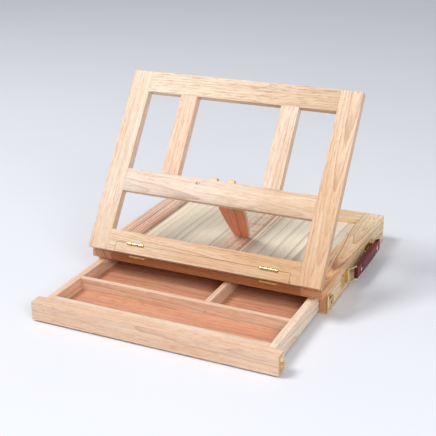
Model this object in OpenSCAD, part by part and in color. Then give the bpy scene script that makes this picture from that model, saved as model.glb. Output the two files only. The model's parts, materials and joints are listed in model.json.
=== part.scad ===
// Tabletop artist's easel: a shallow wooden box with a drawer, and a display frame that is
// hinged to the box's front edge and propped from behind by a leg.
// Millimetres. +Z is up, +X is to the right, and the drawer opens towards -Y.
// The origin is the centre of the box's underside.

/* [Box] */
// Width of the box, side to side
box_w = 340; // [280:1:410]
// Depth of the box, front to back
box_d = 280; // [232:1:340]
// Height of the box, up to the top of its deck
box_h = 41; // [40:0.5:55]
// Thickness of the side and back boards
board_t = 10; // [9:0.5:12]
// Thickness of the plywood base
base_t = 3; // [2.5:0.5:4]

/* [Deck] */
// Thickness of the rails around the deck
deck_t = 11; // [10:0.5:13]
// Width of the rails around the deck
rail_w = 30; // [26:1:36]
// Thickness of the deck panel and the slot board
panel_t = 2.5; // [2:0.5:3]
// Width of the slot board
slot_board_w = 42; // [40:1:60]
// Number of slots for the leg's foot
slot_count = 7; // [5:1:7]
// Number of slots in front of the one in use
slots_in_front = 3; // [2:1:3]
// Spacing of the slots
slot_pitch = 27; // [20:1:28]

/* [Drawer] */
// How far the drawer stands open
drawer_open = 148; // [0:1:180]
// Height of the drawer's face
face_h = 25; // [20:0.5:25]
// Thickness of the drawer's face
face_t = 18; // [14:1:20]
// Thickness of the drawer's sides, front and back
drawer_board_t = 9; // [7:0.5:11]
// Thickness of the drawer's dividers
divider_t = 7; // [5:0.5:8]
// Distance from the face to the middle of the long divider
long_divider_y = 88; // [70:1:110]
// Place of the short divider, right of the middle
short_divider_x = 36; // [-40:1:60]

/* [Display frame] */
// Tilt of the frame above the deck, in degrees
tilt = 54.5; // [45:0.5:60]
// Thickness of the frame
frame_t = 12; // [11:0.5:14]
// Width of the stiles and of the top and bottom rails
stile_w = 30; // [28:1:34]
// Width of the middle rail
mid_rail_w = 32; // [28:1:36]
// Width of the two slats
slat_w = 25; // [18:1:30]
// Depth of the deck left bare behind the folded frame
bare_deck = 16; // [10:1:20]

/* [Ledge] */
// Length of the canvas ledge
ledge_l = 256; // [240:1:264]
// Width of the canvas ledge
ledge_w = 13; // [12:0.5:14]
// Thickness of the canvas ledge
ledge_t = 6; // [5.5:0.5:6]

/* [Leg] */
// Width of the leg at its shoulders
leg_w = 34; // [28:1:36]
// Width of the leg at its foot
leg_foot_w = 22; // [18:1:26]
// Thickness of the leg
leg_t = 6; // [5:0.5:6]

/* [Brass] */
// Width of the butt hinges
hinge_w = 25; // [20:1:30]
// Height of the clasps' plates
clasp_h = 22; // [18:1:23]
// Length of the leather handle between its rings
grip_l = 104; // [90:1:120]

/* [Hidden] */
$fn = 40;

wood = "burlywood";
pale_wood = "wheat";
brass = "gold";
left = -1;
right = 1;

// box
front_y = -box_d / 2;
back_y = box_d / 2;
rail_z = box_h - deck_t;
panel_lap = 8;
panel_z = rail_z;
panel_top = panel_z + panel_t;
inner_w = box_w - 2 * board_t;
board_y = front_y + face_t + 1;

// drawer, when it is shut
drawer_gap = 1;
face_gap = 2.5;
drawer_w = inner_w - 2 * drawer_gap;
drawer_in_w = drawer_w - 2 * drawer_board_t;
face_z = rail_z - face_gap - face_h;
drawer_top = face_z + face_h;
drawer_z = base_t + 0.6;
drawer_back_y = back_y - board_t - 8;
drawer_front_y = front_y + face_t;
bottom_t = 3;
bottom_z = drawer_z + 3.4;
floor_z = bottom_z + bottom_t;
groove = 4;

// a hinge's sizes: width, reach of a leaf, leaf thickness, half gap, knuckle radius, pin radius
frame_hinge = [hinge_w, 12, 0.8, 0.3, 2.2, 0.9];
ledge_hinge = [hinge_w, 5.2, 0.8, 0.2, 1.8, 0.7];
run_fit = 0.05;
knuckle_clear = 0.4;
knuckle_split = 0.3;
knuckle_inset = 0.2;

// display frame, when it lies flat on the deck
axis_out = 1.6;
axis_y = front_y - axis_out;
axis_z = box_h + 0.3;
frame_l = box_d - bare_deck;
frame_back_z = axis_z + frame_hinge[3];
frame_front_z = frame_back_z + frame_t;
frame_in_w = box_w - 2 * stile_w;
mid_s = 0.388 * frame_l;
slat_x = 75;
frame_hinge_x = 0.285 * box_w;

// ledge, when it lies in its rebate
ledge_axis_y = front_y + ledge_w + 0.4;
ledge_axis_z = frame_front_z + 0.5;
ledge_hinge_x = ledge_l / 2 - 30;

// leg, when it lies flat behind the frame
block_t = 8;
leg_drop = 4;
pivot_s = mid_s + mid_rail_w / 2 - 0.5;
pivot_y = front_y + pivot_s;
pivot_z = frame_back_z - leg_drop;
leg_l = pivot_s + 1;
leg_pin_r = 1.2;
tongue_w = 16;
foot_gap = 1;

// where the leg's pivot and foot are with the frame tilted, and the leg's angle from the frame
rest_pivot_y = axis_y + (pivot_y - axis_y) * cos(tilt) - (pivot_z - axis_z) * sin(tilt);
rest_pivot_z = axis_z + (pivot_y - axis_y) * sin(tilt) + (pivot_z - axis_z) * cos(tilt);
foot_z = panel_top + leg_t / 2 + foot_gap;
leg_slope = asin((rest_pivot_z - foot_z) / leg_l);
foot_y = rest_pivot_y + leg_l * cos(leg_slope);
leg_turn = -(tilt + leg_slope);

// clasps
clasp_z = face_z + face_h / 2;
clasp_axis_x = box_w / 2 + 2;
clasp_axis_y = front_y + face_t + 0.2;
barrel_r = 1.6;
barrel_pin_r = 0.7;
flap_h = 12;
flap_l = 21;
stud_y = front_y + 9;
sheet_t = 1;

// handle: wire loops turn in upright barrels, and the grip is folded round their far arms
grip_mid_y = front_y + 0.586 * box_d;
grip_z = rail_z - 9;
grip_h = 15.6;
loop_l = 16;
loop_swing = 24;
ring_r = 1.2;
arm_z = grip_h / 2 + ring_r + 0.4;
barrel_x = box_w / 2 + 3.2;
arm_x = barrel_x + loop_l * sin(loop_swing);
barrel_back = loop_l * cos(loop_swing);
loop_barrel_r = 2.2;
rivet_in = 14;

module side_pair(side) {
    if (side == left) mirror([1, 0, 0]) children();
    else children();
}

// ---- hinges, clasps and screws ----

// centres and widths of the knuckles: the middle one, or the two outer ones
function knuckles(hinge, middle) =
    let (
        end_w = (hinge[0] - 2 * knuckle_split) / 3.1,
        mid_w = hinge[0] - 2 * knuckle_split - 2 * end_w,
        outer_w = end_w - knuckle_inset)
    middle
        ? [[0, mid_w]]
        : [for (s = [-1, 1]) [s * (hinge[0] / 2 - knuckle_inset - outer_w / 2), outer_w]];

function screw_spots(hinge) = [for (s = [-1, 1]) [s * hinge[0] * 0.33, hinge[1] * 0.68]];

// A leaf reaches along +Y just above the pin's axis, which is X through the origin.
module hinge_leaf(hinge, middle) {
    plate_y = hinge[4] + knuckle_clear;
    tab_inset = 0.2;
    bore_r = middle ? hinge[5] + run_fit : hinge[5];
    difference() {
        union() {
            translate([-hinge[0] / 2, plate_y, hinge[3]])
                cube([hinge[0], hinge[1] - plate_y, hinge[2]]);
            for (k = knuckles(hinge, middle)) {
                translate([k[0], 0, 0])
                    rotate([0, 90, 0])
                        cylinder(r = hinge[4], h = k[1], center = true);
                translate([k[0] - k[1] / 2 + tab_inset, 0, hinge[3]])
                    cube([k[1] - 2 * tab_inset, plate_y + 0.2, hinge[2]]);
            }
        }
        rotate([0, 90, 0])
            cylinder(r = bore_r, h = hinge[0] + 2, center = true);
        leaf_screws(hinge);
    }
}

module leaf_pin(hinge) {
    rotate([0, 90, 0])
        cylinder(r = hinge[5], h = hinge[0] + 0.6, center = true);
}

// A leaf's countersunk screws, seen from the gap between the leaves.
module leaf_screws(hinge) {
    head_t = hinge[2] / 2;
    for (p = screw_spots(hinge))
        translate([p[0], p[1], hinge[3]]) {
            cylinder(r = hinge[4] * 0.68, h = head_t);
            cylinder(r = hinge[5] * 0.9, h = hinge[1] * 0.3 + 2);
        }
}

// What a leaf, its knuckles and its screws take out of the wood.
module hinge_pocket(hinge) {
    translate([-hinge[0] / 2, 0, 0])
        cube([hinge[0], hinge[1], hinge[3] + hinge[2]]);
    rotate([0, 90, 0])
        cylinder(r = hinge[4] + knuckle_clear, h = hinge[0] + 2 * knuckle_clear, center = true);
    leaf_screws(hinge);
}

module at_frame_hinge(side) {
    translate([side * frame_hinge_x, axis_y, axis_z]) children();
}

module at_ledge_hinge(side) {
    translate([side * ledge_hinge_x, ledge_axis_y, ledge_axis_z])
        rotate([-90, 0, 0]) children();
}

// A round-headed screw driven along -X into a right-hand face at x = 0.
module side_screw(head_r, shank_r, shank_l) {
    rotate([0, 90, 0])
        cylinder(r = head_r, h = 0.6);
    rotate([0, -90, 0])
        cylinder(r = shank_r, h = shank_l);
}

module side_screw_hole(shank_r, shank_l) {
    rotate([0, -90, 0])
        cylinder(r = shank_r, h = shank_l);
}

// ---- placing of the moving assemblies ----

module drawer_pose() {
    translate([0, -drawer_open, 0]) children();
}

module frame_pose() {
    translate([0, axis_y, axis_z])
        rotate([tilt, 0, 0])
            translate([0, -axis_y, -axis_z]) children();
}

module leg_pose() {
    frame_pose()
        translate([0, pivot_y, pivot_z])
            rotate([leg_turn, 0, 0]) children();
}

// ---- box ----

module side_board(side) {
    color(wood)
    side_pair(side)
    difference() {
        translate([inner_w / 2, board_y, base_t])
            cube([board_t, back_y - board_y, rail_z - base_t]);
        at_clasp_plate_screws() side_screw_hole(0.8, 8);
        if (side == right) at_bracket_screws() side_screw_hole(0.8, 8);
    }
}

module back_board() {
    color(wood)
    translate([-inner_w / 2, back_y - board_t, base_t])
        cube([inner_w, board_t, rail_z - base_t]);
}

module base_panel() {
    color("tan")
    translate([-box_w / 2, board_y, 0])
        cube([box_w, back_y - board_y, base_t]);
}

// The rabbet under the rails that the deck panel's edge lies in.
module panel_rabbet() {
    translate([-frame_in_w / 2 - panel_lap, front_y + rail_w - panel_lap, panel_z - 1])
        cube([frame_in_w + 2 * panel_lap, box_d - 2 * rail_w + 2 * panel_lap, panel_t + 1]);
}

module deck_side_rail(side) {
    color(wood)
    side_pair(side)
    difference() {
        translate([box_w / 2 - rail_w, front_y, rail_z])
            cube([rail_w, box_d, deck_t]);
        panel_rabbet();
    }
}

module deck_rail_front() {
    color(wood)
    difference() {
        translate([-box_w / 2 + rail_w, front_y, rail_z])
            cube([box_w - 2 * rail_w, rail_w, deck_t]);
        panel_rabbet();
        for (side = [left, right])
            at_frame_hinge(side) mirror([0, 0, 1]) hinge_pocket(frame_hinge);
    }
}

module deck_rail_back() {
    color(wood)
    difference() {
        translate([-box_w / 2 + rail_w, back_y - rail_w, rail_z])
            cube([box_w - 2 * rail_w, rail_w, deck_t]);
        panel_rabbet();
    }
}

module deck_panel() {
    color("antiquewhite")
    difference() {
        intersection() {
            panel_rabbet();
            translate([-box_w / 2, front_y, panel_z])
                cube([box_w, box_d, panel_t]);
        }
        translate([-slot_board_w / 2, front_y, panel_z - 1])
            cube([slot_board_w, box_d, panel_t + 2]);
    }
}

module slot_board() {
    slot_l = leg_foot_w + 2;
    slot_w = leg_t + 1;
    color("navajowhite")
    difference() {
        intersection() {
            panel_rabbet();
            translate([-slot_board_w / 2, front_y, panel_z])
                cube([slot_board_w, box_d, panel_t]);
        }
        for (i = [-slots_in_front : slot_count - 1 - slots_in_front])
            translate([-slot_l / 2, foot_y + i * slot_pitch - slot_w / 2, panel_z + 0.7])
                cube([slot_l, slot_w, panel_t]);
    }
}

module box_hinge_leaf(side) {
    color(brass)
    at_frame_hinge(side) mirror([0, 0, 1]) hinge_leaf(frame_hinge, false);
}

module frame_hinge_pins() {
    color(brass)
    for (side = [left, right])
        at_frame_hinge(side) leaf_pin(frame_hinge);
}

module box_hinge_screws() {
    color(brass)
    for (side = [left, right])
        at_frame_hinge(side) mirror([0, 0, 1]) leaf_screws(frame_hinge);
}

// ---- clasps: a plate and its flap on each side board, a keeper on the drawer's face ----

module at_clasp_plate_screws() {
    for (s = [-1, 1])
        translate([box_w / 2 + sheet_t, clasp_axis_y + 9, clasp_z + s * (clasp_h / 2 - 3.5)])
            children();
}

module clasp_barrel(from_z, to_z) {
    translate([clasp_axis_x, clasp_axis_y, from_z])
        cylinder(r = barrel_r, h = to_z - from_z);
}

module clasp_bore(r) {
    translate([clasp_axis_x, clasp_axis_y, clasp_z - clasp_h])
        cylinder(r = r, h = 2 * clasp_h);
}

// The plate is screwed to the side board and carries the two outer parts of the barrel.
module clasp_plate(side) {
    split = flap_h / 2 - 0.6;
    color(brass)
    side_pair(side)
    difference() {
        union() {
            translate([box_w / 2, clasp_axis_y + barrel_r + 0.4, clasp_z - clasp_h / 2])
                cube([sheet_t, 12, clasp_h]);
            for (s = [-1, 1]) {
                z1 = clasp_z + (s < 0 ? -clasp_h / 2 : split);
                z2 = clasp_z + (s < 0 ? -split : clasp_h / 2);
                clasp_barrel(z1, z2);
                translate([box_w / 2 + 0.2, clasp_axis_y, z1])
                    cube([sheet_t - 0.2, barrel_r + 0.6, z2 - z1]);
            }
        }
        clasp_bore(barrel_pin_r);
        at_clasp_plate_screws() side_screw_hole(0.8, 8);
    }
}

module clasp_pin(side) {
    color(brass)
    side_pair(side)
    translate([clasp_axis_x, clasp_axis_y, clasp_z - clasp_h / 2 - 0.3])
        cylinder(r = barrel_pin_r, h = clasp_h + 0.6);
}

// The flap is drawn swung back over its plate; its slot drops over the keeper's stud when shut.
module clasp_flap(side) {
    middle_h = flap_h - 1.8;
    flap_x = clasp_axis_x + 0.3;
    slot_from = 6.6;
    slot_to = 13;
    slot_r = 2.1;
    lip = 1.4;
    color(brass)
    side_pair(side)
    difference() {
        union() {
            clasp_barrel(clasp_z - middle_h / 2, clasp_z + middle_h / 2);
            translate([flap_x, clasp_axis_y, clasp_z - middle_h / 2])
                cube([0.9, barrel_r + 1, middle_h]);
            translate([flap_x, clasp_axis_y + barrel_r + 0.4, clasp_z - flap_h / 2])
                cube([0.9, flap_l - barrel_r - 3.4, flap_h]);
            translate([flap_x - lip, clasp_axis_y + flap_l - 3, clasp_z - flap_h / 2])
                cube([lip + 0.9, 1.4, flap_h]);
        }
        clasp_bore(barrel_pin_r + run_fit);
        for (y = [slot_from + slot_r, slot_to - slot_r])
            translate([flap_x - 1, clasp_axis_y + y, clasp_z])
                rotate([0, 90, 0])
                    cylinder(r = slot_r, h = 4);
        translate([flap_x - 1, clasp_axis_y + slot_from + slot_r, clasp_z - slot_r])
            cube([4, slot_to - slot_from - 2 * slot_r, 2 * slot_r]);
    }
}

module at_keeper_screws() {
    for (s = [-1, 1])
        translate([box_w / 2 + 0.6, stud_y, clasp_z + s * (clasp_h / 2 - 3)]) children();
}

module clasp_keeper(side) {
    keeper_w = 10;
    drawer_pose()
    color(brass)
    side_pair(side)
    difference() {
        union() {
            translate([box_w / 2, stud_y - keeper_w / 2, clasp_z - clasp_h / 2])
                cube([0.6, keeper_w, clasp_h]);
            translate([box_w / 2, stud_y, clasp_z])
                rotate([0, 90, 0])
                    cylinder(r = 1.7, h = 4.2);
            translate([box_w / 2 + 4.2, stud_y, clasp_z])
                sphere(r = 1.7);
        }
        at_keeper_screws() side_screw_hole(0.8, 8);
    }
}

module clasp_keeper_screws() {
    drawer_pose()
    color(brass)
    for (side = [left, right])
        side_pair(side)
            at_keeper_screws() side_screw(1.5, 0.8, 8);
}

// ---- handle on the right-hand side ----

// The origin moves to the middle of a loop's barrel.
module at_bracket(s) {
    translate([barrel_x, grip_mid_y + s * grip_l / 2 - barrel_back, grip_z]) children();
}

module at_bracket_screws() {
    for (s = [-1, 1])
        at_bracket(s)
            for (y = [-9, -18])
                translate([box_w / 2 + sheet_t - barrel_x, y, 0]) children();
}

// A plate with an upright barrel at its back end that the loop's near arm turns in.
module handle_bracket(s) {
    plate_l = 22;
    barrel_h = 14.8;
    to_board = barrel_x - box_w / 2;
    color(brass)
    difference() {
        at_bracket(s)
            difference() {
                union() {
                    translate([-to_board, -plate_l, -arm_z])
                        cube([sheet_t, plate_l + loop_barrel_r, 2 * arm_z - 0.6]);
                    cylinder(r = loop_barrel_r, h = barrel_h, center = true);
                    translate([-to_board, -loop_barrel_r, -barrel_h / 2])
                        cube([to_board - ring_r, 2 * loop_barrel_r - 0.4, barrel_h]);
                }
                cylinder(r = ring_r + run_fit, h = 3 * arm_z, center = true);
            }
        at_bracket_screws() side_screw_hole(0.8, 8);
    }
}

// The round-headed screws of both clasp plates and both handle brackets.
module side_board_screws() {
    color(brass) {
        for (side = [left, right])
            side_pair(side)
                at_clasp_plate_screws() side_screw(1.5, 0.8, 8);
        at_bracket_screws() side_screw(1.5, 0.8, 8);
    }
}

// A rectangular wire loop with rounded corners.
module handle_ring(s) {
    color(brass)
    at_bracket(s)
        rotate([0, 0, -loop_swing]) {
            for (z = [-arm_z, arm_z])
                translate([0, 0, z])
                    rotate([-90, 0, 0])
                        cylinder(r = ring_r, h = loop_l);
            for (y = [0, loop_l])
                translate([0, y, -arm_z]) {
                    cylinder(r = ring_r, h = 2 * arm_z);
                    sphere(r = ring_r);
                    translate([0, 0, 2 * arm_z])
                        sphere(r = ring_r);
                }
        }
}

module at_grip() {
    translate([arm_x, grip_mid_y, grip_z]) children();
}

// The leather is folded round the far arm of each loop and riveted.
module handle_grip() {
    end_r = 2.8;
    middle_t = 6.8;
    color("maroon")
    at_grip()
    difference() {
        union() {
            for (y = [-grip_l / 2, grip_l / 2])
                translate([0, y, 0])
                    cylinder(r = end_r, h = grip_h, center = true);
            cube([2 * end_r, grip_l, grip_h], center = true);
            cube([middle_t, grip_l - 40, grip_h], center = true);
        }
        for (y = [-grip_l / 2, grip_l / 2])
            translate([0, y, 0])
                cylinder(r = ring_r + run_fit, h = 2 * grip_h, center = true);
        at_rivets() cylinder(r = 1, h = 20, center = true);
    }
}

module at_rivets() {
    for (s = [-1, 1])
        translate([0, s * (grip_l / 2 - rivet_in), 0])
            rotate([0, 90, 0]) children();
}

module handle_rivets() {
    head_t = 0.6;
    under_head = 2.8;
    color(brass)
    at_grip()
        at_rivets() {
            cylinder(r = 1, h = 2 * under_head, center = true);
            for (z = [under_head, -under_head - head_t])
                translate([0, 0, z])
                    cylinder(r = 3.1, h = head_t);
        }
}

// ---- drawer ----

// What the plywood bottom takes out of the boards around it.
module bottom_groove() {
    translate([-drawer_in_w / 2 - groove, drawer_front_y + drawer_board_t - groove, bottom_z])
        cube([drawer_in_w + 2 * groove,
              drawer_back_y - drawer_front_y - 2 * drawer_board_t + 2 * groove, bottom_t]);
}

module drawer_face() {
    drawer_pose()
    color(pale_wood)
    difference() {
        translate([-box_w / 2, front_y, face_z])
            cube([box_w, face_t, face_h]);
        for (side = [left, right])
            side_pair(side)
                at_keeper_screws() side_screw_hole(0.8, 8);
    }
}

module drawer_board(y) {
    drawer_pose()
    color(pale_wood)
    difference() {
        translate([-drawer_in_w / 2, y, drawer_z])
            cube([drawer_in_w, drawer_board_t, drawer_top - drawer_z]);
        bottom_groove();
    }
}

module drawer_side(side) {
    drawer_pose()
    color(pale_wood)
    side_pair(side)
    difference() {
        translate([drawer_in_w / 2, drawer_front_y, drawer_z])
            cube([drawer_board_t, drawer_back_y - drawer_front_y, drawer_top - drawer_z]);
        bottom_groove();
        at_side_brads() side_screw_hole(0.5, 14);
    }
}

module drawer_bottom() {
    drawer_pose()
    color("lightsalmon") bottom_groove();
}

module at_side_brads() {
    for (z = [8, 18])
        translate([drawer_w / 2 - 0.4, front_y + long_divider_y, drawer_z + z]) children();
}

module at_divider_brads() {
    for (z = [8, 14])
        translate([short_divider_x, front_y + long_divider_y - divider_t / 2 + 0.4, drawer_z + z])
            rotate([0, 0, -90]) children();
}

module long_divider() {
    drawer_pose()
    color(pale_wood)
    difference() {
        translate([-drawer_in_w / 2, front_y + long_divider_y - divider_t / 2, floor_z])
            cube([drawer_in_w, divider_t, drawer_top - floor_z]);
        at_divider_brads() side_screw_hole(0.5, 14);
        for (side = [left, right])
            side_pair(side) at_side_brads() side_screw_hole(0.5, 14);
    }
}

module short_divider() {
    start_y = front_y + long_divider_y + divider_t / 2;
    drawer_pose()
    color(pale_wood)
    difference() {
        translate([short_divider_x - divider_t / 2, start_y, floor_z])
            cube([divider_t, drawer_back_y - drawer_board_t - start_y, drawer_top - floor_z]);
        at_divider_brads() side_screw_hole(0.5, 14);
    }
}

module divider_brads() {
    drawer_pose()
    color("silver") {
        at_divider_brads() side_screw_hole(0.5, 14);
        for (side = [left, right])
            side_pair(side) at_side_brads() side_screw_hole(0.5, 14);
    }
}

// ---- display frame ----

module frame_bar(x, s, w, l) {
    translate([x, front_y + s, frame_back_z])
        cube([w, l, frame_t]);
}

module frame_stile(side) {
    frame_pose()
    color(pale_wood)
    side_pair(side) frame_bar(frame_in_w / 2, 0, stile_w, frame_l);
}

module frame_top_rail() {
    frame_pose()
    color(pale_wood)
    difference() {
        frame_bar(-frame_in_w / 2, frame_l - stile_w, frame_in_w, stile_w);
        at_top_stud() cylinder(r = 0.9, h = 8);
    }
}

module frame_middle_rail() {
    frame_pose()
    color(pale_wood)
    frame_bar(-frame_in_w / 2, mid_s - mid_rail_w / 2, frame_in_w, mid_rail_w);
}

module frame_bottom_rail() {
    frame_pose()
    color(pale_wood)
    difference() {
        frame_bar(-frame_in_w / 2, 0, frame_in_w, stile_w);
        translate([-ledge_l / 2 - 0.5, front_y - 1, frame_front_z - ledge_t - 0.3])
            cube([ledge_l + 1, ledge_w + 1.6, frame_t]);
        for (side = [left, right]) {
            at_frame_hinge(side) hinge_pocket(frame_hinge);
            at_ledge_hinge(side) hinge_pocket(ledge_hinge);
        }
    }
}

module frame_slat(side) {
    lower = mid_s + mid_rail_w / 2;
    frame_pose()
    color(pale_wood)
    side_pair(side) frame_bar(slat_x - slat_w / 2, lower, slat_w, frame_l - stile_w - lower);
}

// The block behind the middle rail holds the leg's tongue between two cheeks.
module leg_block() {
    below = 18;
    above = 8;
    frame_pose()
    color(wood)
    translate([0, pivot_y, frame_back_z])
    difference() {
        translate([-leg_w / 2, -below, -block_t])
            cube([leg_w, below + above, block_t]);
        translate([-tongue_w / 2 - 0.4, -below + 6, -block_t - 1])
            cube([tongue_w + 0.8, below + above, block_t + 2]);
        translate([0, 0, -leg_drop])
            rotate([0, 90, 0])
                cylinder(r = leg_pin_r, h = leg_w + 2, center = true);
    }
}

module leg_pin() {
    frame_pose()
    color(brass)
    translate([0, pivot_y, pivot_z])
        rotate([0, 90, 0])
            cylinder(r = leg_pin_r, h = leg_w, center = true);
}

module frame_hinge_leaf(side) {
    frame_pose()
    color(brass)
    at_frame_hinge(side) hinge_leaf(frame_hinge, true);
}

module frame_screws() {
    frame_pose()
    color(brass)
    for (side = [left, right]) {
        at_frame_hinge(side) leaf_screws(frame_hinge);
        at_ledge_hinge(side) leaf_screws(ledge_hinge);
    }
}

module at_top_stud() {
    translate([0, front_y + frame_l, frame_back_z + frame_t / 2])
        rotate([90, 0, 0]) children();
}

module top_stud() {
    frame_pose()
    color(brass)
    at_top_stud() {
        cylinder(r = 0.9, h = 8);
        rotate([180, 0, 0])
            cylinder(r = 2.4, h = 1.6);
    }
}

module rail_ledge_leaf(side) {
    frame_pose()
    color(brass)
    at_ledge_hinge(side) hinge_leaf(ledge_hinge, false);
}

module ledge_hinge_pins() {
    frame_pose()
    color(brass)
    for (side = [left, right])
        at_ledge_hinge(side) leaf_pin(ledge_hinge);
}

// ---- prop leg ----

// Half the leg's width, u of the way from its shoulders to its foot.
function leg_half_w(u) = (leg_w + (leg_foot_w - leg_w) * u) / 2 + 4.4 * sin(180 * pow(u, 0.9));

module prop_leg() {
    shoulder_y = 13;
    steps = 14;
    body_l = leg_l - shoulder_y;
    edge = [for (i = [0 : steps]) [leg_half_w(i / steps), shoulder_y + body_l * i / steps]];
    leg_pose()
    color("sandybrown")
    difference() {
        union() {
            translate([0, 0, -leg_t / 2])
                linear_extrude(leg_t)
                    polygon(concat(
                        [[tongue_w / 2, 0], [tongue_w / 2, shoulder_y]],
                        edge,
                        [for (i = [steps : -1 : 0]) [-edge[i][0], edge[i][1]]],
                        [[-tongue_w / 2, shoulder_y], [-tongue_w / 2, 0]]));
            rotate([0, 90, 0])
                cylinder(r = leg_t / 2, h = tongue_w, center = true);
            translate([0, leg_l, 0])
                rotate([0, 90, 0])
                    cylinder(r = leg_t / 2, h = leg_foot_w, center = true);
        }
        rotate([0, 90, 0])
            cylinder(r = leg_pin_r + run_fit, h = tongue_w + 2, center = true);
    }
}

// ---- canvas ledge ----

module canvas_ledge() {
    frame_pose()
    color(pale_wood)
    difference() {
        translate([-ledge_l / 2, front_y + 0.2, frame_front_z - ledge_t])
            cube([ledge_l, ledge_w, ledge_t]);
        for (side = [left, right])
            at_ledge_hinge(side) mirror([0, 0, 1]) hinge_pocket(ledge_hinge);
    }
}

module ledge_leaf(side) {
    frame_pose()
    color(brass)
    at_ledge_hinge(side) mirror([0, 0, 1]) hinge_leaf(ledge_hinge, true);
}

module ledge_screws() {
    frame_pose()
    color(brass)
    for (side = [left, right])
        at_ledge_hinge(side) mirror([0, 0, 1]) leaf_screws(ledge_hinge);
}

side_board(left);  // side_board_left
side_board(right);  // side_board_right
back_board();
base_panel();
deck_rail_front();
deck_rail_back();
deck_side_rail(left);  // deck_rail_left
deck_side_rail(right);  // deck_rail_right
deck_panel();
slot_board();
box_hinge_leaf(left);  // box_hinge_leaf_left
box_hinge_leaf(right);  // box_hinge_leaf_right
frame_hinge_pins();
box_hinge_screws();
clasp_plate(left);  // clasp_plate_left
clasp_plate(right);  // clasp_plate_right
clasp_pin(left);  // clasp_pin_left
clasp_pin(right);  // clasp_pin_right
handle_bracket(-1);  // handle_bracket_front
handle_bracket(1);  // handle_bracket_back
side_board_screws();
drawer_face();
drawer_board(drawer_front_y);  // drawer_front
drawer_side(left);  // drawer_side_left
drawer_side(right);  // drawer_side_right
drawer_board(drawer_back_y - drawer_board_t);  // drawer_back
drawer_bottom();
long_divider();
short_divider();
divider_brads();
clasp_keeper(left);  // clasp_keeper_left
clasp_keeper(right);  // clasp_keeper_right
clasp_keeper_screws();
frame_stile(left);  // frame_stile_left
frame_stile(right);  // frame_stile_right
frame_top_rail();
frame_middle_rail();
frame_bottom_rail();
frame_slat(left);  // frame_slat_left
frame_slat(right);  // frame_slat_right
leg_block();
leg_pin();
frame_hinge_leaf(left);  // frame_hinge_leaf_left
frame_hinge_leaf(right);  // frame_hinge_leaf_right
frame_screws();
top_stud();
rail_ledge_leaf(left);  // rail_ledge_leaf_left
rail_ledge_leaf(right);  // rail_ledge_leaf_right
ledge_hinge_pins();
prop_leg();
canvas_ledge();
ledge_leaf(left);  // ledge_leaf_left
ledge_leaf(right);  // ledge_leaf_right
ledge_screws();
clasp_flap(left);  // clasp_flap_left
clasp_flap(right);  // clasp_flap_right
handle_grip();
handle_ring(-1);  // handle_ring_front
handle_ring(1);  // handle_ring_back
handle_rivets();
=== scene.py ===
import json
import math

import bmesh
import bpy
from mathutils import Matrix, Vector

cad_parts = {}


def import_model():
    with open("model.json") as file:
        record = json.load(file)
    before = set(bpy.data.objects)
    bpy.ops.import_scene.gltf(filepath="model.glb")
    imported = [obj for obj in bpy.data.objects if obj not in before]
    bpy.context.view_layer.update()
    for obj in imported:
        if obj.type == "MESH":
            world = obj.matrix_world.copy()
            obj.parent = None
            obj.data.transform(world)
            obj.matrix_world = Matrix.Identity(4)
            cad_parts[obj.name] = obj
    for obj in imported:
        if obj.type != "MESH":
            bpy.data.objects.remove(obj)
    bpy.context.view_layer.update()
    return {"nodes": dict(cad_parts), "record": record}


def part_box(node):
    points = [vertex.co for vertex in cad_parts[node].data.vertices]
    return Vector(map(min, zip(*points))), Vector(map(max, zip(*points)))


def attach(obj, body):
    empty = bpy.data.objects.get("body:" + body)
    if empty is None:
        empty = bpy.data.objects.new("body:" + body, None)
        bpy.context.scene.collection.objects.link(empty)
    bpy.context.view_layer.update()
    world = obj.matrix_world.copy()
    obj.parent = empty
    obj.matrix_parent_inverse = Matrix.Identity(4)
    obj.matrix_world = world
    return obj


# The tabletop box easel's looks. Metres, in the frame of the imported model: +Z is up, the drawer opens
# towards -Y, and the origin is the centre of the box's underside.

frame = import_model()
MM = 0.001


# ---- directions of the boards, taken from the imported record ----

X = Vector((1, 0, 0))
Y = Vector((0, 1, 0))
Z = Vector((0, 0, 1))


def frame_and_leg_angles():
    """The display frame's tilt above the deck, and the prop leg's slope down from its pivot."""
    behaviour = frame["record"]["behaviour"]
    tilt = -next(j for j in behaviour["joints"] if j["name"] == "frame_tilt")["range_deg"][0]
    ratio = next(c for c in behaviour["couplings"] if c["joint"] == "leg_fold")["ratio"]
    return math.radians(tilt), math.radians(-tilt * ratio - tilt)


FRAME_TILT, LEG_SLOPE = frame_and_leg_angles()
UP_FRAME = Vector((0, math.cos(FRAME_TILT), math.sin(FRAME_TILT)))
DOWN_LEG = Vector((0, math.cos(LEG_SLOPE), -math.sin(LEG_SLOPE)))


# ---- a short way to write material nodes ----

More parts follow.
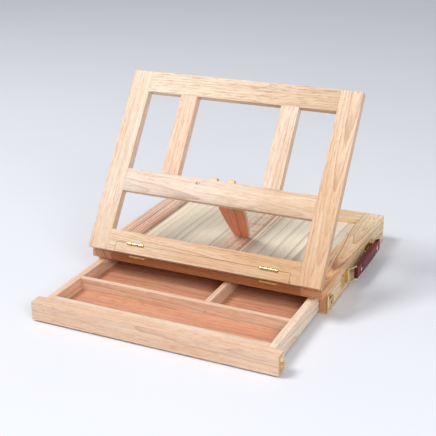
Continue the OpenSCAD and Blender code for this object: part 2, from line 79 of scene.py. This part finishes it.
class Graph:
    """The nodes of one material or node group."""

    def __init__(self, tree):
        self.tree = tree

    def node(self, kind, inputs=None, **settings):
        made = self.tree.nodes.new(kind)
        for name, value in settings.items():
            setattr(made, name, value)
        for name, value in (inputs or {}).items():
            self.feed(made.inputs[name], value)
        return made

    def feed(self, socket, value):
        if isinstance(value, bpy.types.NodeSocket):
            self.tree.links.new(value, socket)
        else:
            socket.default_value = value

    def math(self, operation, a, b=0.0):
        return self.node("ShaderNodeMath", {0: a, 1: b}, operation=operation).outputs[0]

    def stretched(self, vector, factors):
        return self.node("ShaderNodeVectorMath", {0: vector, 1: factors}, operation="MULTIPLY").outputs[0]

    def noise(self, place, cycles, detail=2.0, roughness=0.5):
        """Noise from 0 to 1, with the given cycles per metre along each axis."""
        made = self.node("ShaderNodeTexNoise", {
            "Vector": self.stretched(place, cycles), "Scale": 1.0, "Detail": detail, "Roughness": roughness})
        return made.outputs["Fac"]

    def noise_along(self, value, scale, detail):
        """Noise from 0 to 1 that depends on one number."""
        made = self.node("ShaderNodeTexNoise", {"W": value, "Scale": scale, "Detail": detail},
                         noise_dimensions="1D")
        return made.outputs["Fac"]

    def coordinates(self):
        return self.node("ShaderNodeTexCoord").outputs["Object"]

    def axis(self, vector, index):
        return self.node("ShaderNodeSeparateXYZ", {0: vector}).outputs[index]

    def between(self, value, low, high, to_low=0.0, to_high=1.0):
        """The value's place between low and high, held inside them, as a number from to_low to to_high."""
        made = self.node("ShaderNodeMapRange", {
            "Value": value, "From Min": low, "From Max": high, "To Min": to_low, "To Max": to_high})
        return made.outputs[0]

    def mix(self, factor, a, b, blend="MIX"):
        made = self.node("ShaderNodeMix", data_type="RGBA", blend_type=blend)
        self.feed(made.inputs[0], factor)
        self.feed(made.inputs[6], a)
        self.feed(made.inputs[7], b)
        return made.outputs[2]

    def bump(self, shader, height, strength, depth):
        made = self.node("ShaderNodeBump", {"Height": height, "Strength": strength, "Distance": depth})
        self.feed(shader.inputs["Normal"], made.outputs[0])


def rgb(r, g, b):
    """A colour given as sRGB, 0 to 255, as the linear colour that the nodes want."""
    def linear(v):
        v /= 255
        return v / 12.92 if v <= 0.04045 else ((v + 0.055) / 1.055) ** 2.4
    return (linear(r), linear(g), linear(b), 1.0)


def new_material(name):
    """An empty material, a graph to write its nodes with, and its shader."""
    material = bpy.data.materials.new(name)
    material.use_nodes = True
    graph = Graph(material.node_tree)
    shader = material.node_tree.nodes["Principled BSDF"]
    return material, graph, shader


# ---- wood ----

# Cycles per metre of each pattern along the board, across it and through it.
WAVE_CYCLES = (14, 45, 45)
DRIFT_CYCLES = (5, 9, 9)
BAND_CYCLES = (7, 170, 170)
STREAK_CYCLES = (16, 480, 480)
PORE_CYCLES = (70, 1250, 1250)
FIBRE_CYCLES = (90, 3200, 3200)
PATCH_CYCLES = (9, 26, 26)


def ring_turns(g, place, given):
    """How many growth rings lie between the tree's middle and each point of the board, unevenly wide."""
    wobble = given["Wobble"]
    drift = g.math("MULTIPLY", g.math("SUBTRACT", g.noise(place, DRIFT_CYCLES, 1.0), 0.5),
                   g.math("MULTIPLY", wobble, 7.0))
    off_y = g.math("ADD", g.math("SUBTRACT", g.axis(place, 1), given["Pith Y"]), drift)
    slope = g.math("MULTIPLY", g.axis(place, 0), given["Pith Slope"])
    off_z = g.math("SUBTRACT", g.math("SUBTRACT", g.axis(place, 2), given["Pith Z"]), slope)
    squares = g.math("ADD", g.math("MULTIPLY", off_y, off_y), g.math("MULTIPLY", off_z, off_z))
    wave = g.math("MULTIPLY", g.math("SUBTRACT", g.noise(place, WAVE_CYCLES), 0.5), wobble)
    turns = g.math("DIVIDE", g.math("ADD", g.math("SQRT", squares), wave), given["Ring Width"])
    uneven = g.noise_along(g.math("MULTIPLY", turns, 0.45), 1.0, 1.0)
    return g.math("ADD", turns, g.math("MULTIPLY", uneven, 1.8))


def ring_lines(g, turns):
    """Each ring darkens slowly to its edge and pales quickly after it; some rings are fainter than others."""
    phase = g.math("FRACT", turns)
    late = g.math("POWER", phase, 2.4)
    early = g.math("POWER", g.between(phase, 0.0, 0.12, 1.0, 0.0), 2.0)
    strength = g.between(g.noise_along(g.math("FLOOR", turns), 3.7, 0.0), 0.35, 0.6, 0.2, 1.0)
    return g.math("MULTIPLY", g.math("MAXIMUM", late, early), strength)


def wood_group():
    """Growth rings round an axis beside the board, and streaks and pores along it. X runs along the board."""
    tree = bpy.data.node_groups.new("wood_grain", "ShaderNodeTree")
    tree.interface.new_socket("Vector", in_out="INPUT", socket_type="NodeSocketVector")
    for name in ("Pith Y", "Pith Z", "Pith Slope", "Ring Width", "Wobble"):
        tree.interface.new_socket(name, in_out="INPUT", socket_type="NodeSocketFloat")
    for name in ("Ring", "Band", "Streak", "Pore", "Fibre", "Patch"):
        tree.interface.new_socket(name, in_out="OUTPUT", socket_type="NodeSocketFloat")
    g = Graph(tree)
    given = g.node("NodeGroupInput").outputs
    made = g.node("NodeGroupOutput").inputs
    place = given["Vector"]
    g.feed(made["Ring"], ring_lines(g, ring_turns(g, place, given)))
    g.feed(made["Band"], g.between(g.noise(place, BAND_CYCLES), 0.36, 0.66))
    g.feed(made["Streak"], g.between(g.noise(place, STREAK_CYCLES, 3.0, 0.6), 0.36, 0.66))
    g.feed(made["Pore"], g.between(g.noise(place, PORE_CYCLES, 1.0, 0.6), 0.58, 0.66))
    g.feed(made["Fibre"], g.noise(place, FIBRE_CYCLES, 3.0, 0.6))
    g.feed(made["Patch"], g.between(g.noise(place, PATCH_CYCLES), 0.36, 0.64))
    return tree


WOOD = wood_group()


def board_mapping(graph, node, along, across):
    """Object coordinates turned so that X runs along the board's grain, from the board's own middle."""
    low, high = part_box(node)
    turn = Matrix((along, across, along.cross(across)))
    middle = turn @ ((low + high) / 2)
    mapped = graph.node("ShaderNodeMapping", {
        "Vector": graph.coordinates(), "Rotation": turn.to_euler("XYZ"), "Location": -middle})
    return mapped.outputs[0]


def facing(g, direction):
    """1 on the faces that look along the direction or away from it, 0 on the others."""
    normal = g.node("ShaderNodeTexCoord").outputs["Normal"]
    cosine = g.node("ShaderNodeVectorMath", {0: normal, 1: direction}, operation="DOT_PRODUCT")
    return g.between(g.math("ABSOLUTE", cosine.outputs["Value"]), 0.6, 0.8)


SPOT_INK = rgb(112, 66, 40)


def mark(g, place, colour, x, y, radius, strength):
    """A small round spot, such as a nail's hole or a knot. x and y are mm from the board's middle."""
    flat = g.stretched(place, (1, 1, 0))
    centre = (x * MM, y * MM, 0)
    away = g.node("ShaderNodeVectorMath", {0: flat, 1: centre}, operation="DISTANCE").outputs["Value"]
    ragged = g.math("MULTIPLY", g.noise(place, (400, 700, 1)), radius * 0.5 * MM)
    spot = g.between(g.math("ADD", away, ragged), radius * MM, radius * 1.5 * MM, strength, 0.0)
    return g.mix(spot, colour, SPOT_INK)


def wood(node, along, across, pale, dark, late, seed=0.0, pith=(0, -30), slope=0.0, ring_width=3.0,
         wobble=2.0, ring=0.5, band=0.4, streak=0.35, pore=0.3, patch=0.3, lean=0.0, ends=0.5, marks=(),
         sawn=None, extra=None):
    """A sanded board. pale and dark are the ends of its colour, late is its growth lines' colour.
    pith is where the tree's middle was, in mm across and below the board; slope leans it along the board.
    ring_width and wobble are mm. ring, band, streak, pore and patch say how much of each pattern shows,
    lean how much the colour darkens along the board, and ends how much darker its cut ends are.
    sawn is the colour of the cut ends, where it differs; marks are spots; extra adds a layer of its own."""
    material, g, shader = new_material(node)
    place = board_mapping(g, node, along, across)
    shifted = g.node("ShaderNodeVectorMath", {0: place, 1: (seed, 0, 0)}).outputs[0]
    out = g.node("ShaderNodeGroup", {
        "Vector": shifted, "Pith Y": pith[0] * MM, "Pith Z": pith[1] * MM - slope * seed, "Pith Slope": slope,
        "Ring Width": ring_width * MM, "Wobble": wobble * MM}, node_tree=WOOD).outputs
    low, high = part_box(node)
    length = abs((high - low).dot(along))
    tone = g.math("MULTIPLY", g.math("DIVIDE", g.axis(place, 0), length), lean)
    for value, amount in ((out["Patch"], patch), (out["Band"], band), (out["Streak"], streak),
                          (facing(g, along), ends)):
        tone = g.math("ADD", tone, g.math("MULTIPLY", value, amount))
    colour = g.mix(g.math("MAXIMUM", 0.0, g.math("MINIMUM", tone, 1.3)), pale, dark)
    if sawn:
        colour = g.mix(g.math("MULTIPLY", facing(g, along), 0.85), colour, sawn)
    colour = g.mix(g.math("MULTIPLY", out["Ring"], ring), colour, late)
    colour = g.mix(g.math("MULTIPLY", out["Pore"], pore), colour, late)
    fine = g.between(out["Fibre"], 0.3, 0.7, 0.93, 1.06)
    grey = g.node("ShaderNodeCombineColor", {0: fine, 1: fine, 2: fine}).outputs[0]
    colour = g.mix(1.0, colour, grey, "MULTIPLY")
    if extra:
        colour = extra(g, place, colour)
    for spot in marks:
        colour = mark(g, place, colour, *spot)
    g.feed(shader.inputs["Base Color"], colour)
    g.feed(shader.inputs["Roughness"], g.between(out["Streak"], 0.0, 1.0, 0.44, 0.6))
    height = g.math("SUBTRACT", g.math("MULTIPLY", out["Fibre"], 0.5), g.math("MULTIPLY", out["Ring"], 0.5))
    g.bump(shader, g.math("SUBTRACT", height, out["Pore"]), 0.35, 0.3 * MM)
    return material


def plies(thickness, count, ink):
    """Layers that show on a plywood board's edges, through its thickness in mm."""
    def layered(g, place, colour):
        through = g.math("DIVIDE", g.axis(place, 2), thickness / count * MM)
        layer = g.math("FRACT", g.math("ADD", through, count / 2 + 0.25))
        line = g.math("MULTIPLY", g.between(layer, 0.42, 0.5), g.math("SUBTRACT", 1.0, facing(g, Z)))
        return g.mix(g.math("MULTIPLY", line, 0.6), colour, ink)
    return layered


def painted_edge_highlight(g, place, colour):
    """Painted highlight: the prop leg's long edges are painted lighter than its flat faces, for the light
    that catches them.
    """
    return g.mix(g.math("MULTIPLY", facing(g, X), 0.85), colour, rgb(232, 196, 158))


def dress(node, material, edge=0.5):
    """Gives a CAD node its material and eases its edges by the given millimetres."""
    piece = frame["nodes"][node]
    piece.data.materials.clear()
    piece.data.materials.append(material)
    weld = piece.modifiers.new("weld", "WELD")
    weld.merge_threshold = 0.002 * MM
    if edge:
        bevel = piece.modifiers.new("edges", "BEVEL")
        bevel.width = edge * MM
        bevel.segments = 2
        bevel.limit_method = "ANGLE"
        bevel.angle_limit = math.radians(35)
        bevel.harden_normals = True


# ---- the boards' colours (pale, dark, growth lines), directions and grain ----

CREAM = (rgb(236, 219, 201), rgb(219, 187, 155), rgb(158, 100, 60))
SAND = (rgb(229, 208, 183), rgb(205, 171, 136), rgb(142, 90, 56))
STRAW = (rgb(229, 201, 171), rgb(210, 168, 127), rgb(150, 88, 50))
WHITISH = (rgb(248, 234, 216), rgb(232, 204, 172), rgb(168, 112, 74))
HONEY = (rgb(248, 226, 188), rgb(234, 194, 142), rgb(156, 92, 50))
BLUSH = (rgb(239, 211, 185), rgb(223, 181, 149), rgb(170, 108, 74))
ROSE = (rgb(248, 226, 204), rgb(220, 168, 138), rgb(148, 80, 60))
# Painted shade: the deck's front rail is coloured darker for the frame's shadow that falls over the deck's
# front.
FRAME_SHADOW_PAINTED = (rgb(188, 128, 82), rgb(166, 100, 58), rgb(116, 60, 32))
PANEL = (rgb(248, 238, 216), rgb(234, 220, 194), rgb(138, 106, 82))
SLOTTED = (rgb(253, 238, 218), rgb(242, 214, 188), rgb(156, 96, 74))
LEG = (rgb(250, 174, 132), rgb(234, 148, 108), rgb(150, 80, 56))
RED_PLY = (rgb(222, 168, 134), rgb(200, 138, 108), rgb(150, 88, 66))
WARM_RAIL = (rgb(250, 228, 190), rgb(232, 164, 104), rgb(152, 86, 46))
END_GRAIN = rgb(198, 138, 108)

BOARDS = {
    # the display frame
    "frame_stile_left": (UP_FRAME, X, CREAM, dict(
        seed=0.3, pith=(-46, -12), ring_width=2.6, ring=0.42, wobble=1.2, pore=0.35, lean=-0.2)),
    "frame_stile_right": (UP_FRAME, X, STRAW, dict(
        seed=1.1, pith=(7, -24), slope=0.035, ring_width=2.2, ring=0.48, wobble=2.2, pore=0.4, lean=-0.9,
        patch=0.2)),
    "frame_top_rail": (X, UP_FRAME, SAND, dict(
        seed=2.2, pith=(-30, -34), slope=0.01, ring_width=2.6, ring=0.4, wobble=1.4, pore=0.5, lean=1.1,
        patch=0.2)),
    "frame_middle_rail": (X, UP_FRAME, CREAM, dict(
        seed=3.3, pith=(-12, -26), slope=-0.03, ring_width=2.2, ring=0.45, wobble=2.4, pore=0.3, lean=1.0,
        marks=((-31, 9, 2.2, 0.5), (-27, 9.5, 0.7, 0.9)))),
    "frame_bottom_rail": (X, UP_FRAME, STRAW, dict(
        seed=4.1, pith=(-14, -24), slope=-0.03, ring_width=2.4, ring=0.6, wobble=2.4, pore=0.4, lean=1.2)),
    "frame_slat_left": (UP_FRAME, X, BLUSH, dict(
        seed=5.2, pith=(30, -20), ring_width=2.8, ring=0.45, wobble=1.2, pore=0.5, lean=-0.3)),
    "frame_slat_right": (UP_FRAME, X, CREAM, dict(
        seed=6.4, pith=(-14, -30), slope=0.02, ring_width=2.4, ring=0.4, wobble=1.6, pore=0.4)),
    "canvas_ledge": (X, UP_FRAME, STRAW, dict(seed=7.7, pith=(20, -14), ring_width=2.4, ring=0.5, lean=0.9)),
    "leg_block": (X, UP_FRAME, HONEY, dict(seed=8.1, ring_width=3.0)),
    "prop_leg": (DOWN_LEG, X, LEG, dict(
        # extra paints a highlight on the leg's long edges
        seed=9.2, pith=(14, -30), slope=0.03, ring_width=2.8, ring=0.6, ends=0.8, extra=painted_edge_highlight)),
    # the box
    "side_board_left": (Y, Z, STRAW, dict(
        seed=0.9, pith=(4, -26), slope=0.03, ring_width=2.6, ring=0.55, sawn=END_GRAIN)),
    "side_board_right": (Y, Z, HONEY, dict(
        seed=1.9, pith=(-5, -24), slope=-0.04, ring_width=2.4, ring=0.65, pore=0.5, sawn=END_GRAIN)),
    "back_board": (X, Z, STRAW, dict(seed=2.9, pith=(5, -28), slope=0.03, ring_width=2.6, ring=0.6)),
    "base_panel": (X, Y, HONEY, dict(
        seed=3.9, pith=(40, -50), ring=0.3, ring_width=6, extra=plies(3, 3, rgb(120, 72, 42)))),
    # painted shade: this rail's darker colours stand for the frame's shadow over the deck's front
    "deck_rail_front": (X, Y, FRAME_SHADOW_PAINTED, dict(
        seed=4.9, pith=(12, -26), ring_width=2.4, ring=0.55, pore=0.5)),
    "deck_rail_back": (X, Y, HONEY, dict(
        seed=5.9, pith=(-12, -26), slope=0.03, ring_width=2.6, ring=0.6)),
    "deck_rail_left": (Y, X, ROSE, dict(
        seed=6.9, pith=(34, -12), ring_width=4.6, ring=1.0, wobble=0.8, lean=-0.3, sawn=rgb(206, 146, 104))),
    "deck_rail_right": (Y, X, WARM_RAIL, dict(
        seed=0.5, pith=(4, -20), slope=0.06, ring_width=2.6, ring=0.75, wobble=3.0, pore=0.5, lean=-1.0,
        patch=0.2, band=0.3, sawn=rgb(204, 144, 100))),
    "deck_panel": (Y, X, PANEL, dict(
        seed=8.3, pith=(180, -40), ring_width=13.0, ring=0.6, wobble=1.8, band=0.15, streak=0.3, pore=0.1)),
    "slot_board": (Y, X, SLOTTED, dict(
        seed=9.3, pith=(-44, -14), ring_width=8.0, ring=0.8, wobble=1.2, streak=0.5)),
    # the drawer
    "drawer_face": (X, Z, BLUSH, dict(
        seed=1.4, pith=(9, -28), slope=0.012, ring_width=2.2, ring=0.5, wobble=2.2, pore=0.4, ends=0.9,
        marks=((-151, 4, 0.8, 0.85),))),
    "drawer_front": (X, Z, CREAM, dict(seed=2.4, pith=(-12, -26), ring_width=2.4, ring=0.45)),
    "drawer_side_left": (Y, Z, BLUSH, dict(
        seed=3.4, pith=(10, -24), slope=0.02, ring_width=2.6, ring=0.5)),
    "drawer_side_right": (Y, Z, WHITISH, dict(
        seed=4.4, pith=(-10, -28), slope=-0.02, ring_width=2.4, ring=0.5)),
    "drawer_back": (X, Z, CREAM, dict(seed=5.4, pith=(10, -28), ring_width=2.4, ring=0.5)),
    "drawer_bottom": (X, Y, RED_PLY, dict(
        seed=6.3, pith=(90, -60), ring_width=9.0, ring=0.5, wobble=5.0, streak=0.4, pore=0.5)),
    "long_divider": (X, Z, BLUSH, dict(
        seed=7.3, pith=(12, -22), slope=0.02, ring_width=2.4, ring=0.5, marks=((36, -3, 0.8, 0.85),))),
    "short_divider": (Y, Z, BLUSH, dict(seed=8.9, pith=(-12, -22), ring_width=2.4, ring=0.5)),
}
for node, (along, across, colours, look) in BOARDS.items():
    dress(node, wood(node, along, across, *colours, **look))


# ---- brass, steel and leather ----

def metal(name, bright, dull, shine, worn):
    """A plated metal with faint cloudy wear; shine and worn are the roughness at its two ends."""
    material, g, shader = new_material(name)
    place = g.coordinates()
    cloud = g.between(g.noise(place, (260, 260, 260), 3.0, 0.6), 0.35, 0.65)
    g.feed(shader.inputs["Base Color"], g.mix(cloud, bright, dull))
    g.feed(shader.inputs["Roughness"], g.between(cloud, 0.0, 1.0, shine, worn))
    g.feed(shader.inputs["Metallic"], 1.0)
    scratches = g.noise(place, (900, 2600, 900))
    g.bump(shader, scratches, 0.12, 0.1 * MM)
    return material


def leather(name, raised, creased):
    """Grained leather, glossier on top of its grain than between; raised and creased are its two colours."""
    material, g, shader = new_material(name)
    place = g.coordinates()
    cells = g.node("ShaderNodeTexVoronoi", {"Vector": g.stretched(place, (900, 700, 900)), "Scale": 1.0},
                   feature="SMOOTH_F1").outputs["Distance"]
    cloud = g.between(g.noise(place, (60, 30, 60), 3.0), 0.35, 0.65)
    g.feed(shader.inputs["Base Color"], g.mix(g.math("MULTIPLY", cloud, 0.8), raised, creased))
    g.feed(shader.inputs["Roughness"], g.between(cells, 0.1, 0.7, 0.3, 0.5))
    g.feed(shader.inputs["Specular IOR Level"], 0.3)
    g.bump(shader, cells, 0.3, 0.2 * MM)
    return material


def thread(name, light, dark):
    """Twisted sewing thread."""
    material, g, shader = new_material(name)
    twist = g.noise(g.coordinates(), (2500, 1500, 2500), 1.0)
    g.feed(shader.inputs["Base Color"], g.mix(twist, light, dark))
    g.feed(shader.inputs["Roughness"], 0.7)
    return material


BRASS = metal("brass", rgb(248, 226, 168), rgb(222, 188, 122), 0.16, 0.3)
STEEL = metal("steel", rgb(186, 182, 176), rgb(140, 136, 130), 0.3, 0.5)
for node in frame["nodes"]:
    if node not in BOARDS and node not in ("handle_grip", "divider_brads"):
        dress(node, BRASS, 0.0)
dress("divider_brads", STEEL, 0.0)
dress("handle_grip", leather("leather", rgb(112, 18, 15), rgb(72, 9, 9)), 1.1)


STITCHES_PER_ROW = 17
ROW_END_GAP = 26 * MM
ROW_OFF_MIDDLE = 5.6 * MM
STITCH = Vector((0.32, 1.5, 0.36))      # half its thickness, length and height, in mm


def stitches():
    """Two rows of stitches along each broad face of the handle's raised middle."""
    low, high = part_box("handle_grip")
    middle = (low + high) / 2
    row_l = high.y - low.y - 2 * ROW_END_GAP
    shape = bmesh.new()
    for side in (-1, 1):
        for edge in (-1, 1):
            for i in range(STITCHES_PER_ROW):
                y = middle.y + row_l * ((i + 0.5) / STITCHES_PER_ROW - 0.5)
                spot = Vector((middle.x + side * (high.x - low.x) / 2, y, middle.z + edge * ROW_OFF_MIDDLE))
                ball = bmesh.ops.create_icosphere(shape, subdivisions=2, radius=1.0)
                for v in ball["verts"]:
                    slim = 1 - 0.5 * v.co.y ** 2
                    grown = Vector((v.co.x * STITCH.x * slim, v.co.y * STITCH.y, v.co.z * STITCH.z * slim))
                    v.co = spot + grown * MM
    mesh = bpy.data.meshes.new("grip_stitches")
    shape.to_mesh(mesh)
    shape.free()
    piece = bpy.data.objects.new("grip_stitches", mesh)
    bpy.context.collection.objects.link(piece)
    for face in mesh.polygons:
        face.use_smooth = True
    mesh.materials.append(thread("thread", rgb(150, 70, 60), rgb(96, 36, 32)))
    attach(piece, "carrying_handle")


stitches()


# ---- stage, light and camera ----

FLOOR_SIDE = 60
AIM = Vector((0, 0, 0.06))              # the middle of the easel, which both lamps face
LAMP_SIZE = 1.2


def floor():
    """A plain pale floor that runs to the horizon."""
    bpy.ops.mesh.primitive_plane_add(size=FLOOR_SIDE)
    plane = bpy.context.object
    plane.name = "floor"
    material, g, shader = new_material("floor")
    cloud = g.noise(g.coordinates(), (3, 3, 3))
    g.feed(shader.inputs["Base Color"], g.mix(cloud, rgb(224, 227, 233), rgb(230, 232, 238)))
    g.feed(shader.inputs["Roughness"], 0.55)
    plane.data.materials.append(material)


def soft_lamp(name, place, power, colour):
    light = bpy.data.lights.new(name, "AREA")
    light.shape = "DISK"
    light.size = LAMP_SIZE
    light.energy = power
    light.color = colour
    lamp = bpy.data.objects.new(name, light)
    bpy.context.collection.objects.link(lamp)
    lamp.location = place
    lamp.rotation_euler = (AIM - Vector(place)).to_track_quat("-Z", "Y").to_euler()


def camera():
    """Above and to the right of the drawer, looking down at the easel."""
    place = (0.5016, -1.1293, 0.5676)
    yaw, pitch, roll = math.radians(25.673), math.radians(22.234), math.radians(-0.979)
    data = bpy.data.cameras.new("camera")
    data.sensor_width = 36
    data.lens = 76.02
    eye = bpy.data.objects.new("camera", data)
    bpy.context.collection.objects.link(eye)
    look_down = Matrix.Rotation(math.pi / 2 - pitch, 4, "X")
    turn = Matrix.Rotation(yaw, 4, "Z") @ look_down @ Matrix.Rotation(roll, 4, "Z")
    eye.matrix_world = Matrix.Translation(place) @ turn
    bpy.context.scene.camera = eye


def world(colour, strength):
    """Even light from all round."""
    sky = bpy.data.worlds.new("studio")
    sky.use_nodes = True
    back = sky.node_tree.nodes["Background"]
    back.inputs["Color"].default_value = colour
    back.inputs["Strength"].default_value = strength
    bpy.context.scene.world = sky


floor()
world((0.93, 0.95, 1.0, 1), 0.46)
soft_lamp("key", (-1.35, -1.0, 2.7), 64, (1.0, 0.985, 0.97))
soft_lamp("fill", (1.6, -1.5, 1.3), 24, (1, 1, 1))
camera()
bpy.context.scene.view_settings.view_transform = "Standard"
